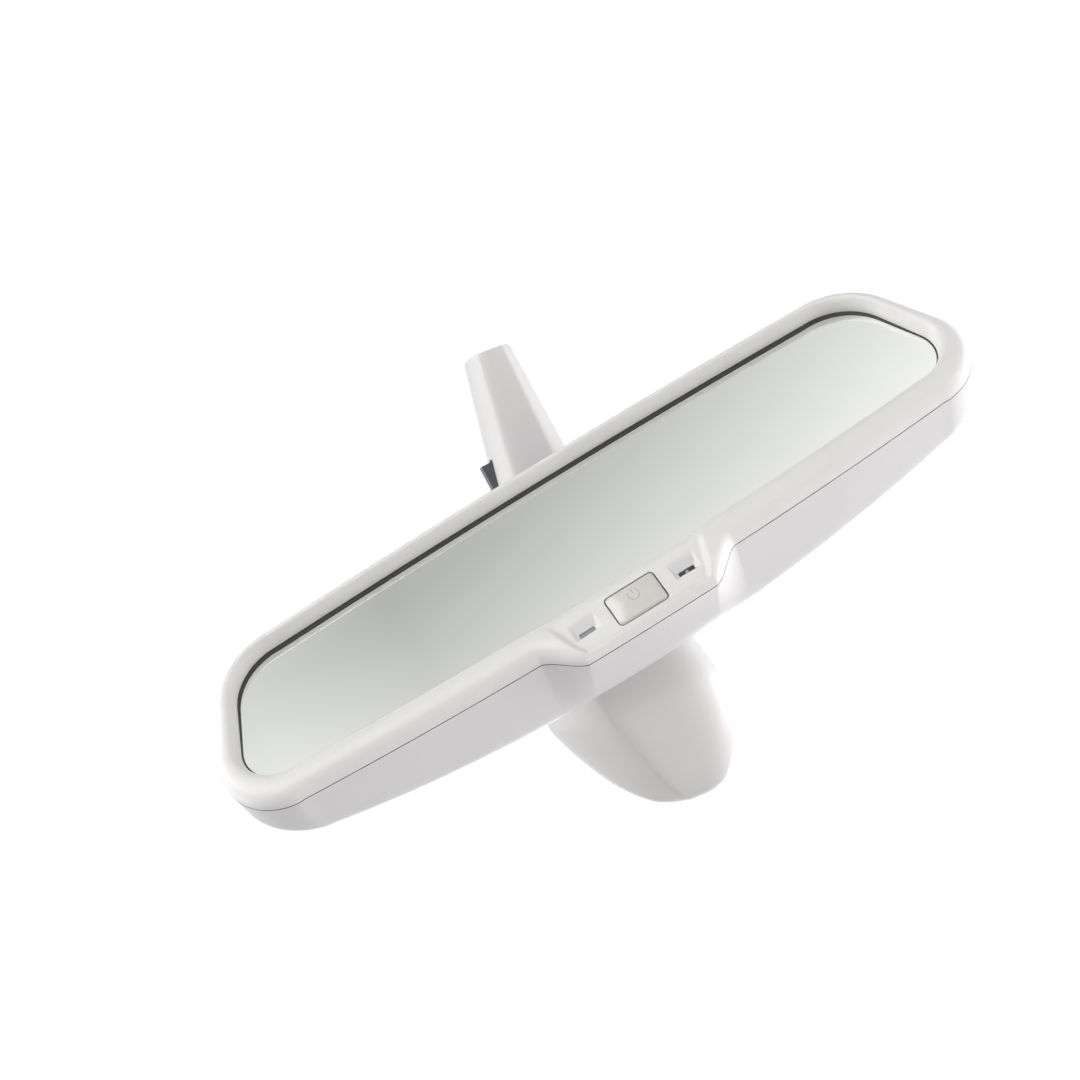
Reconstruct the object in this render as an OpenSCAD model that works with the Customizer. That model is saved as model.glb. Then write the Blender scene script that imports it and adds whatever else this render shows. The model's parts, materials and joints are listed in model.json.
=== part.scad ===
// Interior rearview mirror with automatic dimming: a long housing on a ball joint, carried
// by an arm on a windshield foot, with a sensor cover below and a slim cable cover above.
// X runs along the mirror, +Y points forward through the windshield, +Z is up.
// The origin is the centre of the foot's face on the windshield glass.

/* [Housing] */
// Overall length of the housing
head_len = 240; // [220:1:270]
// Height of the housing at its middle, without the chin
head_h = 60.5; // [56:0.5:70]
// Height of the housing's middle above the ball's centre
head_rise = 2; // [0:0.5:4]
// Depth of the rear shell behind the seam
shell_depth = 38; // [36:0.5:44]
// Slope of the two ends: the housing is longer at the bottom
end_slope = 0.36; // [0.25:0.01:0.45]
// Width of the bezel's rim along the top edge
rim_top = 3.4; // [3:0.1:6]
// Width of the bezel's rim along the bottom edge
rim_bottom = 10.2; // [9:0.1:12]
// Width of the bezel's rim at the two ends
rim_end = 5.9; // [4.5:0.1:9]
// How far the rim stands in front of the glass
rim_proud = 5.3; // [4.8:0.1:6]
// Wall of the plastic mouldings
wall = 2; // [1.5:0.1:2.5]

/* [Chin] */
// Half width of the chin at its bottom edge
chin_low = 20.4; // [20:0.2:24]
// Half width of the chin where it leaves the housing
chin_high = 31.2; // [29:0.2:38]
// Drop of the chin below the housing's bottom edge
chin_drop = 8.2; // [7.5:0.1:10]
// Backward tilt of the chin's face, in degrees
panel_tilt = 12; // [8:1:14]
// Width of the power button
button_w = 15.2; // [12:0.1:16.5]
// Height of the power button
button_h = 9.3; // [8:0.1:10]
// Travel of the power button
button_travel = 0.8; // [0.4:0.1:1]
// Gap all round the power button
button_gap = 0.35; // [0.2:0.05:0.5]
// Distance of each window pocket from the middle of the chin
window_x = 15.9; // [15.2:0.1:16.6]

/* [Glass] */
// Thickness of each of the two glass plates
glass_t = 1.6; // [1:0.1:2]
// Thickness of the sealed gel layer between the plates
gel_t = 0.3; // [0.2:0.1:0.6]
// How far the glass reaches under the rim
glass_cover = 1.2; // [0.8:0.1:1.6]

/* [Ball joint] */
// Radius of the ball on the arm
ball_r = 9; // [7:0.1:10]
// Wall of each of the two plastic cups round the ball
cup_wall = 1.5; // [1:0.1:2]
// Running clearance between the ball and each cup
ball_gap = 0.05; // [0.03:0.01:0.1]
// Distance of the ball's centre behind the glass
ball_depth = 21; // [20:0.5:26]
// Radius of the arm's neck
neck_r = 4.2; // [3.5:0.1:5]
// Radius of the cable bore through the arm
cable_bore = 2.3; // [2:0.1:2.8]

/* [Windshield mount] */
// Height of the ball's centre above the glass
ball_height = 62; // [58:1:75]
// Distance of the ball's centre up the glass from the foot
ball_up = 27; // [20:1:32]
// Angle of the windshield against the horizontal
rake = 49; // [40:1:60]
// Turn of the mount against the housing, about the vertical
rest_turn = 8; // [-10:0.5:10]
// Lean of the mount against the housing, about the forward axis
rest_lean = 7; // [-10:0.5:10]
// Radius of the disc on the glass that the foot takes
disc_r = 14; // [12:0.5:17]
// Thickness of that disc
disc_t = 3; // [2:0.1:4]
// Width of the lower cover at its widest
cover_w = 54.6; // [50:0.2:62]
// Length of the lower cover below the foot
cover_drop = 43.6; // [43:0.2:56]
// Sideways lean of the lower cover's middle line, per millimetre down the glass
cover_lean = 0.2; // [0:0.05:0.25]
// Highest point of the lower cover above the glass
cover_h = 34; // [30:1:40]
// Length of the cable cover up the glass, from the foot
stem_len = 107; // [95:1:120]
// Width of the cable cover's face at its top end
stem_w = 9.6; // [8:0.2:13]

/* [Hidden] */
$fn = 64;
// Gap between mouldings that meet, such as the seam between bezel and shell
seam = 0.3;
// Clearance between neighbouring pieces
gap = 0.3;
// Overshoot of a cutting tool past the face that it cuts
over = 1;
paint = "gainsboro";

// ---- Places -------------------------------------------------------------------------
function turned(v) =
    let (x = v[0] * cos(rest_lean) + v[2] * sin(rest_lean),
         z = v[2] * cos(rest_lean) - v[0] * sin(rest_lean))
    [x * cos(rest_turn) - v[1] * sin(rest_turn), x * sin(rest_turn) + v[1] * cos(rest_turn), z];
ball_y = ball_height * sin(rake) + ball_up * cos(rake);
ball_z = ball_height * cos(rake) - ball_up * sin(rake);
ball_at = turned([0, -ball_y, -ball_z]);
// Angle of the arm above the forward axis
arm_lift = atan2(ball_z, ball_y);
arm_len = norm([ball_height, ball_up]);

module in_head() { translate(ball_at - [0, ball_depth, 0]) children(); }
module in_mount() { rotate([0, rest_lean, rest_turn]) children(); }
// On the windshield: y runs up the glass, z stands off it towards the driver
module on_glass() { in_mount() rotate([180 - rake, 0, 0]) children(); }
// At the ball in the housing, with y along the arm
module at_socket() { in_head() translate([0, ball_depth, 0]) rotate([arm_lift, 0, 0]) children(); }
// At the ball on the arm, with y along the arm
module at_ball() { in_mount() translate([0, -ball_y, -ball_z]) rotate([arm_lift, 0, 0]) children(); }
// A cylinder along y from y0 to y1
module rod(r, y0, y1) { translate([0, y0, 0]) rotate([-90, 0, 0]) cylinder(r = r, h = y1 - y0); }
// A flat outline in x and z, made solid from y0 to y1
module slab(y0, y1) { translate([0, y1, 0]) rotate([90, 0, 0]) linear_extrude(y1 - y0) children(); }
module block(x0, x1, y0, y1, z0, z1) { translate([x0, y0, z0]) cube([x1 - x0, y1 - y0, z1 - z0]); }

// ---- Outlines -----------------------------------------------------------------------
seam_top = head_rise + head_h / 2;
seam_bottom = head_rise - head_h / 2;
// Where the straight line of each end crosses the ball's height; the bottom corners reach further
end_half = head_len / 2 - 2.6;
top_bow = 0.0002;
bottom_bow = 0.00039;
arc_steps = 9;
edge_steps = 7;
// Stations across the chin, the same on every outline, so that sections match point for point
chin_stations = [for (k = [0 : 12]) (chin_high + 3) * (1 - k / 12)];

function unit(v) = v / norm(v);
function fillet(c, a, b, r) =
    let (half = acos(a * b) / 2,
         mid = c + unit(a + b) * r / sin(half),
         p = c + a * r / tan(half) - mid,
         q = c + b * r / tan(half) - mid,
         from = atan2(p[1], p[0]),
         sweep = (atan2(q[1], q[0]) - from + 540) % 360 - 180)
    [for (k = [0 : arc_steps]) mid + r * [cos(from + sweep * k / arc_steps), sin(from + sweep * k / arc_steps)]];
function chin_shape(x) =
    let (s = min(1, max(0, (chin_high - abs(x)) / (chin_high - chin_low))))
    s * 0.4 + s * s * (3 - 2 * s) * 0.6;
// Right half of an outline from top middle to bottom middle
function half_outline(half, slope, top, bottom, bow_t, bow_b, r_top, r_bottom, chin) =
    let (xt = half - slope * top,
         xb = half - slope * bottom,
         ct = [xt, top - bow_t * xt * xt],
         cb = [xb, bottom + bow_b * xb * xb],
         side = unit(cb - ct),
         arc_t = fillet(ct, unit([-1, 2 * bow_t * xt]), side, r_top),
         arc_b = fillet(cb, -side, unit([-1, -2 * bow_b * xb]), r_bottom),
         last = arc_b[arc_steps][0],
         first = chin_stations[0])
    concat([for (k = [0 : edge_steps]) let (x = arc_t[0][0] * k / (edge_steps + 1)) [x, top - bow_t * x * x]],
           arc_t, arc_b,
           [for (k = [1 : edge_steps - 1])
               let (x = last + (first - last) * k / edge_steps) [x, bottom + bow_b * x * x]],
           [for (x = chin_stations) [x, bottom + bow_b * x * x - chin * chin_shape(x)]]);
function mirrored(p) = concat(p, [for (k = [len(p) - 2 : -1 : 1]) [-p[k][0], p[k][1]]]);
// The housing's outer outline, drawn in by inset
function outer(inset, chin) = mirrored(half_outline(
    end_half - inset * 1.16, end_slope, seam_top - inset, seam_bottom + inset, top_bow, bottom_bow,
    22.5 - inset * 0.5, 17 - inset * 0.5, chin));
// The outline of the glass that shows, drawn out by grow
function opening(grow) = mirrored(half_outline(
    end_half - rim_end + grow * 1.1, end_slope - 0.06, seam_top - rim_top + grow,
    seam_bottom + rim_bottom - grow, top_bow, bottom_bow * 0.83, 18.3 + grow * 0.5, 11.4 + grow * 0.5, 0));
function at_y(p, y) = [for (q = p) [q[0], y, q[1]]];

// A closed solid through rings of equal length; the last ring joins the first
module ring_solid(rings) {
    m = len(rings);
    n = len(rings[0]);
    polyhedron(
        points = [for (r = rings) each r],
        faces = [for (j = [0 : m - 1]) for (i = [0 : n - 1])
            let (a = j * n + i, b = j * n + (i + 1) % n, c = ((j + 1) % m) * n + (i + 1) % n,
                 d = ((j + 1) % m) * n + i)
            each [[a, c, b], [a, d, c]]],
        convexity = 6);
}
// A closed solid through rings of equal length, with flat ends
module capped_solid(rings) {
    m = len(rings);
    n = len(rings[0]);
    polyhedron(
        points = [for (r = rings) each r],
        faces = concat(
            [for (j = [0 : m - 2]) for (i = [0 : n - 1])
                let (a = j * n + i, b = j * n + (i + 1) % n, c = a + n, d = b + n)
                each [[a, d, b], [a, c, d]]],
            [[for (i = [0 : n - 1]) i]],
            [[for (i = [n - 1 : -1 : 0]) (m - 1) * n + i]]),
        convexity = 4);
}

// ---- Bezel and glass ----------------------------------------------------------------
glass_back = 2 * glass_t + gel_t;
// How far the plates reach under the rim, short of the rear shell's wall
glass_reach = min(glass_cover, rim_top - wall - gap);
lip_y = -seam;
seam_y = -0.1;
// The chin's tilted face stands this far behind the rim's front, at the button's centre
panel_y = 2 - rim_proud;
button_z = seam_bottom + rim_bottom - 5.5 - button_h / 2;
// In the chin, with y into it along the button's travel, and y = 0 on its face
module on_panel() { in_head() translate([0, panel_y, button_z]) rotate([panel_tilt, 0, 0]) children(); }
// Height on the button's line of travel at a depth y in the housing
function line_z(y) = button_z + (y - panel_y) * tan(panel_tilt);

// The bezel's section: share of the rim's width, and share of its height over the glass
rim_front = [[0, 0.06], [0.04, 0.45], [0.13, 0.76], [0.28, 0.95], [0.46, 1], [0.64, 0.96],
    [0.8, 0.84], [0.92, 0.62], [0.985, 0.36], [1, 0.16]];
// How much shallower the bezel's hollow is behind the chin
chin_fill = 2;
function fill_y(p) = p[1] < 0 ? chin_fill * chin_shape(p[0]) : 0;
function bezel_ring(share, y, fill) =
    let (inner = opening(0), edge = outer(0, chin_drop))
    [for (i = [0 : len(inner) - 1])
        let (p = inner[i] + (edge[i] - inner[i]) * share) [p[0], y + fill * fill_y(p), p[1]]];
function bezel_inside(inset, y, fill) =
    let (inner = opening(0), edge = outer(0, chin_drop))
    [for (i = [0 : len(inner) - 1])
        let (p = edge[i] + unit(inner[i] - edge[i]) * inset) [p[0], y + fill * fill_y(p), p[1]]];

module bezel_blank() {
    ring_solid(concat(
        [for (f = rim_front) bezel_ring(f[0], -rim_proud * f[1], 0)],
        [bezel_ring(1, seam_y, 0), bezel_inside(wall, seam_y, 0),
         bezel_inside(wall * 1.1, -rim_proud + wall + 1, 1), bezel_ring(0.55, -rim_proud + wall, 1),
         bezel_ring(0.3, -rim_proud + wall + 0.7, 1), bezel_ring(0.17, lip_y, 0)]));
}
module panel_outline() {
    low = (seam_bottom - chin_drop + 1.9 - button_z) / cos(panel_tilt);
    high = (seam_bottom + rim_bottom - 2.4 - button_z) / cos(panel_tilt);
    polygon([[-chin_high + 6, high], [chin_high - 6, high], [chin_low + 1, low + 3], [chin_low - 1, low],
        [1 - chin_low, low], [-chin_low - 1, low + 3]]);
}
// The tapered pocket in front of each window slot, on the chin's face
pocket_w = 8;
pocket_h = 4.5;
pocket_depth = 1.1;
slot_w = 5;
slot_h = 1.3;
slot_top = 0.25;
slot_mid = slot_top - slot_h / 2;
module window_pocket(side) {
    translate([side * window_x, 0, slot_top - slot_h]) {
        hull() {
            block(-pocket_w / 2, pocket_w / 2, -3, 0, 0, pocket_h);
            block(-slot_w / 2, slot_w / 2, pocket_depth - 0.1, pocket_depth, 0, slot_h);
        }
        block(-slot_w / 2, slot_w / 2, 0, wall + 3, 0, slot_h);
    }
}
module bezel_frame() {
    color(paint) difference() {
        in_head() bezel_blank();
        on_panel() {
            slab(-4, 0) panel_outline();
            block(-button_w / 2 - button_gap, button_w / 2 + button_gap, -over, wall + 3,
                -button_h / 2 - button_gap, button_h / 2 + button_gap);
            for (side = [-1, 1]) window_pocket(side);
        }
    }
}
module glass_gasket() {
    color("#3a3a3a") in_head() difference() {
        slab(lip_y, -0.02) polygon(opening(glass_reach));
        slab(lip_y - over, over) polygon(opening(-1.5));
    }
}
module front_glass() {
    color([0.78, 0.82, 0.8]) in_head() slab(0, glass_t) polygon(opening(glass_reach));
}
module edge_seal() {
    color("dimgray") in_head() difference() {
        slab(glass_t, glass_t + gel_t) polygon(opening(glass_reach - 0.6));
        slab(glass_t - over, glass_t + gel_t + over) polygon(opening(-2.4));
    }
}
module rear_glass() {
    color([0.62, 0.66, 0.66]) in_head() slab(glass_t + gel_t, glass_back) polygon(opening(glass_reach - 0.6));
}
clip_half = 70;
clip_t = 0.2;
// Bent strips that grip the rear plate's edge and feed it
module bus_clips() {
    top = seam_top - rim_top + glass_reach;
    color("gold") in_head() for (side = [-1, 1]) translate([side * clip_half / 2, 0, 0]) {
        block(-6, 6, glass_back, glass_back + clip_t, top - 12, top - 2.5);
        block(-2, 2, glass_back + clip_t, glass_back + clip_t + foam_t, top - 12, top - 9);
    }
}
foam_t = 0.9;
foam_y = glass_back + clip_t;
module foam_pad() {
    color("#2b2b2b") in_head() difference() {
        slab(foam_y, foam_y + foam_t) polygon(opening(-1));
        for (side = [-1, 1]) translate([side * clip_half / 2, 0, 0])
            block(-2 - gap, 2 + gap, foam_y - over, foam_y + foam_t + over,
                seam_top - rim_top + glass_reach - 12 - gap, seam_top);
    }
}

// ---- Carrier, board and sensors -----------------------------------------------------
carrier_y = foam_y + foam_t;
carrier_back = carrier_y + wall;
board_y = carrier_back + 2.4;
board_t = 1.6;
board_half = 44;
board_top = seam_bottom + 12.75;
board_hole_z = board_top - 3.1;
tab_half = chin_low - 1.8;
board_low = seam_bottom - chin_drop * chin_share((board_y + board_t) / shell_depth) + wall + 1.1;
boss_r = 2.6;
board_holes = [for (x = [-38, 38, -27, 27]) [x, board_hole_z]];
screw_r = 1;
pedestal_r = 12.5;

module screw(r, head_r, head_h, length) {
    rotate([90, 0, 0]) {
        cylinder(r = r, h = length);
        translate([0, 0, -head_h]) difference() {
            cylinder(r = head_r, h = head_h);
            translate([0, 0, -over]) cylinder(r = head_r * 0.5, h = head_h * 0.5 + over, $fn = 6);
        }
    }
}
module carrier_plate() {
    color("darkgray") in_head() difference() {
        union() {
            slab(carrier_y, carrier_back) polygon(opening(-0.6));
            block(-board_half, board_half, carrier_y, carrier_back, board_top - 6.3, board_top);
            for (p = board_holes) translate([p[0], 0, p[1]]) rod(boss_r, carrier_back - 0.5, board_y);
        }
        for (p = board_holes) translate([p[0], 0, p[1]]) rod(screw_r, carrier_back, board_y + over);
        translate([0, 0, -3]) rod(6.5, carrier_y - over, carrier_back + over);
    }
}
module circuit_board() {
    color("darkgreen") in_head() difference() {
        slab(board_y, board_y + board_t) polygon([[-board_half, board_top], [board_half, board_top],
            [board_half, seam_bottom + 5.5], [tab_half + 3, seam_bottom + 5.5], [tab_half, board_low],
            [-tab_half, board_low], [-tab_half - 3, seam_bottom + 5.5], [-board_half, seam_bottom + 5.5]]);
        for (p = board_holes) translate([p[0], 0, p[1]]) rod(screw_r + 0.2, board_y - over, board_y + board_t + over);
    }
}
module board_screws() {
    color("silver") in_head() for (p = board_holes)
        translate([p[0], board_y + board_t, p[1]]) screw(screw_r - 0.03, 2, 1.2, board_t + 1.8);
}
module board_chips() {
    back = board_y + board_t;
    color("#26282b") in_head() {
        block(-17, -10, back, back + 1.4, board_top - 8.5, board_top - 1.5);
        block(9, 14, back, back + 1.2, board_top - 6.5, board_top - 2.5);
        block(-33.5, -30.5, back, back + 2.2, board_top - 6.5, board_top - 1.5);
        block(20, 23, back, back + 1.1, board_top - 6, board_top - 3.5);
        for (k = [0 : 4])
            block(-8 + k * 3, -6.4 + k * 3, back, back + 0.6, board_top - 12.1, board_top - 11.3);
    }
}
module board_connector() {
    back = board_y + board_t;
    color("ivory") in_head() difference() {
        block(-5.5, 5.5, back, back + 6, board_top - 9, board_top - 3);
        block(-4.7, 4.7, back + 1, back + 6 + over, board_top - 8.2, board_top - 3.8);
    }
}
switch_depth = 3.2;
switch_z = line_z(board_y - switch_depth);
module tact_switch() {
    color("#33363a") in_head()
        block(-3, 3, board_y - switch_depth, board_y, switch_z - 3, switch_z + 3);
}
// Height of the indicator and of the light sensor on the board, on the line of their guides
window_z = line_z(board_y) + slot_mid;
module status_led() {
    color("honeydew") in_head()
        block(-window_x - 1, -window_x + 1, board_y - 0.8, board_y, window_z - 1, window_z + 1);
}
lens_back = 2.8;
// A lens behind a window slot, with a light guide that ends at the depth y1 in the housing
module window_lens(side, y1) {
    translate([side * window_x, 0, slot_mid]) {
        block(-slot_w / 2 + 0.1, slot_w / 2 - 0.1, pocket_depth + 0.1, lens_back, -slot_h / 2 + 0.1, slot_h / 2 - 0.1);
        block(-slot_w / 2 - 0.8, slot_w / 2 + 0.8, lens_back, lens_back + 0.8, -slot_h / 2 - 0.6, slot_h / 2 + 0.6);
        rod(0.9, lens_back + 0.5, (y1 - panel_y) / cos(panel_tilt) - 0.3);
    }
}
module indicator_lens() {
    color("lightgray") on_panel() window_lens(-1, board_y - 1.1);
}
module glare_lens() {
    color("#404448") on_panel() difference() {
        window_lens(1, board_y - 3);
        translate([window_x, 0, slot_mid]) rod(0.4, 0, lens_back - 1);
    }
}
module glare_sensor() {
    color("#2a2c2e") in_head() translate([window_x, 0, window_z]) {
        block(-1.8, 1.8, board_y - 1.6, board_y, -1.8, 1.8);
        rod(1.2, board_y - 2.7, board_y - 1.5);
    }
}
pipe_x = 34;
pipe_z = -6;
pipe_r = 2.6;
module ambient_sensor() {
    back = board_y + board_t;
    color("#2a2c2e") in_head() block(pipe_x - 1.8, pipe_x + 1.8, back, back + 1.6, board_top - 3.8, board_top - 0.2);
}
module ambient_light_pipe() {
    back = board_y + board_t;
    color([0.85, 0.88, 0.9]) in_head() {
        block(pipe_x - 1.6, pipe_x + 1.6, back + 1.9, back + 5, board_top - 3.6, pipe_z + pipe_r);
        translate([pipe_x, 0, pipe_z]) rod(pipe_r, back + 4, shell_depth - 1.4);
    }
}

// ---- Rear shell ---------------------------------------------------------------------
// Depth shares of the sections, from the seam to the back
shell_steps = [0, 0.16, 0.32, 0.48, 0.6, 0.71, 0.8, 0.88, 0.94, 0.98, 1];
shell_round = 13.5;
shell_y = seam_y + seam;
function shell_inset(t) =
    1.6 * t + (t > 0.5 ? shell_round * (1 - sqrt(1 - pow((t - 0.5) / 0.5, 2))) : 0);
function chin_share(t) = pow(max(0, 1 - t / 0.8), 1.3);
// The shell is shallower towards its ends
function bowed(p, t, depth) =
    [for (q = p) [q[0], shell_y + t * depth * (1 - 0.5 * pow(2 * abs(q[0]) / head_len, 2.3)), q[1]]];
function shell_ring(t, inset, depth) =
    bowed(outer(shell_inset(t) + inset, chin_drop * chin_share(t)), t, depth);
// The hole in the shell's back leaves the arm room to swing both ways at once
hole_r = neck_r + (shell_depth - ball_depth) * 0.54;
hole_at = [ball_at[0], ball_at[2]] / ball_at[1] * (shell_depth - ball_depth);
// A ring on the shell's back, between its last section and the arm's hole
function back_ring(share, depth) =
    bowed([for (q = outer(shell_inset(1), 0))
        let (d = unit(q - hole_at) * hole_r + hole_at) q + (d - q) * share], 1, depth);
module rear_shell() {
    color(paint) in_head() difference() {
        ring_solid(concat(
            [for (t = shell_steps) shell_ring(t, 0, shell_depth)],
            [back_ring(0.5, shell_depth + 0.4), back_ring(1, shell_depth + 0.4), back_ring(1, shell_depth - wall)],
            [for (k = [len(shell_steps) - 1 : -1 : 0]) shell_ring(shell_steps[k], wall, shell_depth - wall)]));
        translate([pipe_x, 0, pipe_z]) rod(pipe_r + 0.1, shell_depth * 0.6, shell_depth + 5);
    }
}

// ---- Ball joint ---------------------------------------------------------------------
liner_in = ball_r + ball_gap;
liner_out = liner_in + cup_wall;
cup_in = liner_out + ball_gap;
cup_out = cup_in + cup_wall;
socket_in = cup_out + ball_gap;
socket_out = socket_in + wall;
flange_r = socket_out + 4;
flange_t = 1.8;
socket_bolt_r = socket_out + 2;
socket_bolt = 1;

// A band of a hollow ball, cut open towards the arm at y_back and at the front by a hole
module ball_band(r_in, r_out, y_back, front_hole) {
    rotate([-90, 0, 0]) rotate_extrude() difference() {
        circle(r = r_out);
        circle(r = r_in);
        translate([-2 * r_out, -2 * r_out]) square([2 * r_out, 4 * r_out]);
        translate([-r_out, y_back]) square([3 * r_out, r_out]);
        translate([-over, -2 * r_out]) square([front_hole + over, 2 * r_out]);
    }
}
module socket_liner() { color("ivory") at_socket() ball_band(liner_in, liner_out, 5.5, 5.8); }
module pressure_cup() { color("slategray") at_socket() ball_band(cup_in, cup_out, 6.2, 6.6); }
module socket_bolts() {
    for (a = [45 : 90 : 315]) rotate([0, a, 0]) translate([socket_bolt_r, 0, 0]) children();
}
module ball_socket() {
    color("darkgray") difference() {
        union() {
            at_socket() {
                difference() {
                    sphere(r = socket_out);
                    translate([-20, 0, -20]) cube([40, 40, 40]);
                }
                rod(flange_r, -flange_t, 0);
            }
            in_head() rod(pedestal_r, carrier_back - over, ball_depth - 6);
        }
        in_head() block(-30, 30, -30, carrier_back, -30, 30);
        at_socket() {
            sphere(r = socket_in);
            rod(7.4, -20, 0);
            socket_bolts() rod(socket_bolt, -flange_t - over, over);
        }
        in_head() translate([0, 0, -3]) rod(6.5, carrier_back - over, ball_depth);
    }
}
module socket_ring() {
    color("silver") at_socket() difference() {
        union() {
            sphere(r = socket_out);
            rod(flange_r, 0, flange_t);
        }
        sphere(r = socket_in);
        translate([-20, 8.2, -20]) cube([40, 40, 40]);
        translate([-20, -40, -20]) cube([40, 40, 40]);
        socket_bolts() rod(socket_bolt + 0.2, -over, flange_t + over);
    }
}
module socket_screws() {
    color("silver") at_socket() socket_bolts()
        translate([0, flange_t, 0]) screw(socket_bolt - 0.03, 1.7, 1.2, 2 * flange_t - 0.2);
}

// ---- Button -------------------------------------------------------------------------
// How far the button's face stands in front of the chin's face
button_proud = 0.3;
button_skirt = 3.4;
module button_plan(shrink) {
    r = 1.2;
    translate([shrink - button_w / 2 + r, shrink - button_h / 2 + r])
        offset(r = r) square([button_w - 2 * (r + shrink), button_h - 2 * (r + shrink)]);
}
module power_button() {
    tip = board_y - switch_depth - button_travel - 0.1;
    color("whitesmoke") {
        on_panel() hull() {
            slab(0.5 - button_proud, button_skirt) button_plan(0);
            slab(-button_proud, 0.5 - button_proud) button_plan(0.5);
        }
        hull() {
            on_panel() block(-1.6, 1.6, button_skirt - 1, button_skirt - 0.5, -1.6, 1.6);
            in_head() block(-1.6, 1.6, tip - 0.5, tip, switch_z - 1.6, switch_z + 1.6);
        }
    }
}

// ---- Arm, foot and covers -----------------------------------------------------------
foot_r = disc_r + 3;
foot_h = 9;
arm_flange = 2.5;
arm_bolt_r = 10.5;
cable_r = 1.8;
// Where the cable leaves the arm's bore, measured above the glass
branch_z = 19;
branch_y = ball_up * branch_z / ball_height;
// Length of the bore from the ball's centre
bore_end = arm_len * (ball_height - branch_z) / ball_height + 1;
collar_r = neck_r + 1.6;
// Where the collar ends on the foot, measured from the ball's centre
collar_end = (ball_height - foot_h - gap - collar_r * ball_up / arm_len) * arm_len / ball_height;
boss_h = 5.5;

module ball_arm() {
    color("#8d9296") difference() {
        union() {
            at_ball() rotate([-90, 0, 0]) rotate_extrude() difference() {
                union() {
                    circle(r = ball_r);
                    square([neck_r, collar_end - 1]);
                    translate([0, arm_len * 0.55]) square([collar_r, collar_end - arm_len * 0.55]);
                }
                translate([-2 * ball_r, -2 * ball_r]) square([2 * ball_r, 4 * arm_len]);
                translate([-over, -2 * ball_r]) square([cable_bore + over, 2 * ball_r + bore_end]);
            }
            on_glass() translate([0, branch_y * 0.4, foot_h]) cylinder(r = foot_r - 4, h = arm_flange);
            on_glass() translate([0, branch_y * 0.63, foot_h]) cylinder(r = collar_r + 1.2, h = boss_h);
        }
        on_glass() translate([0, branch_y, branch_z]) rotate([-70, 0, 0]) cylinder(r = cable_bore + 1.2, h = 20);
        on_glass() translate([0, branch_y * 0.4, 0]) for (a = [30 : 120 : 270])
            rotate([0, 0, a]) translate([arm_bolt_r, 0, 0]) cylinder(r = 1.2, h = 30);
    }
}
module arm_screws() {
    color("silver") on_glass() translate([0, branch_y * 0.4, foot_h + arm_flange]) for (a = [30 : 120 : 270])
        rotate([0, 0, a]) translate([arm_bolt_r, 0, 0]) rotate([90, 0, 0]) screw(1.1, 2.2, 1.4, arm_flange + 4);
}
wing_half = 8.5;
wing_end = 46;
// The latch at the wing's left edge reaches out through the upper cover's side and holds it
latch_h = 6;
latch = [[-wing_half + 0.5, wing_end - 8], [-3, wing_end - 8], [-4, wing_end], [-6, 70], [-8, 75.6], [-14.8, 74.8],
    [-13.4, 63.5], [-8.4, 60], [-wing_half + 0.5, wing_end]];
module latch_form(grow) {
    translate([0, 0, disc_t + 1 - grow]) linear_extrude(latch_h + 2 * grow) offset(delta = grow) polygon(latch);
}
module mount_base() {
    color("#4a4e54") on_glass() difference() {
        union() {
            cylinder(r = foot_r, h = foot_h);
            translate([-wing_half, 0, disc_t + 1]) cube([2 * wing_half, wing_end, 3]);
            for (side = [-1, 1]) translate([side * wing_half - 1, foot_r - 4, disc_t + 1]) cube([2, 26, 9]);
            latch_form(0);
        }
        translate([0, 0, -over]) cylinder(r = disc_r, h = disc_t + over);
        translate([-4, -foot_r - over, disc_t]) cube([8, 6, 3]);
        translate([0, branch_y * 0.4, 0]) for (a = [30 : 120 : 270])
            rotate([0, 0, a]) translate([arm_bolt_r, 0, disc_t + 1.5]) cylinder(r = 1.15, h = 30);
    }
}
// A flat spring that presses the foot against the edge of the disc
module retaining_spring() {
    color("silver") on_glass() {
        translate([-3, -foot_r - 4, disc_t + 0.4]) cube([6, 8.5, 0.8]);
        translate([-3, -foot_r - 4, disc_t + 0.4]) cube([6, 0.8, 5]);
    }
}
// Cross section of a cover: half width, height and flatness of its face
function arch(w, h, face) = [[-w, 0], [-w, h * 0.35], [-w * 0.97, h * 0.55], [-w * 0.9, h * 0.72],
    [-w * 0.78, h * 0.86], [-w * face, h * 0.96], [-w * face * 0.6, h], [0, h * 1.01],
    [w * face * 0.6, h], [w * face, h * 0.96], [w * 0.78, h * 0.86], [w * 0.9, h * 0.72],
    [w * 0.97, h * 0.55], [w, h * 0.35], [w, 0]];
function section(p, y, z) = [for (q = p) [q[0], y, z + q[1]]];
split_y = 9;
// Place, half width and height of each section of the lower cover, as shares of its sizes
lower_form = [[-1, 0.19, 0.42], [-0.977, 0.29, 0.55], [-0.92, 0.44, 0.69], [-0.81, 0.6, 0.82],
    [-0.68, 0.725, 0.91], [-0.49, 0.85, 0.97], [-0.31, 0.94, 1], [-0.15, 0.975, 0.98], [0, 0.9, 0.8]];
// Sideways place of the lower cover's middle line
function lean_x(y) = cover_lean * (split_y - y);
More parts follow.
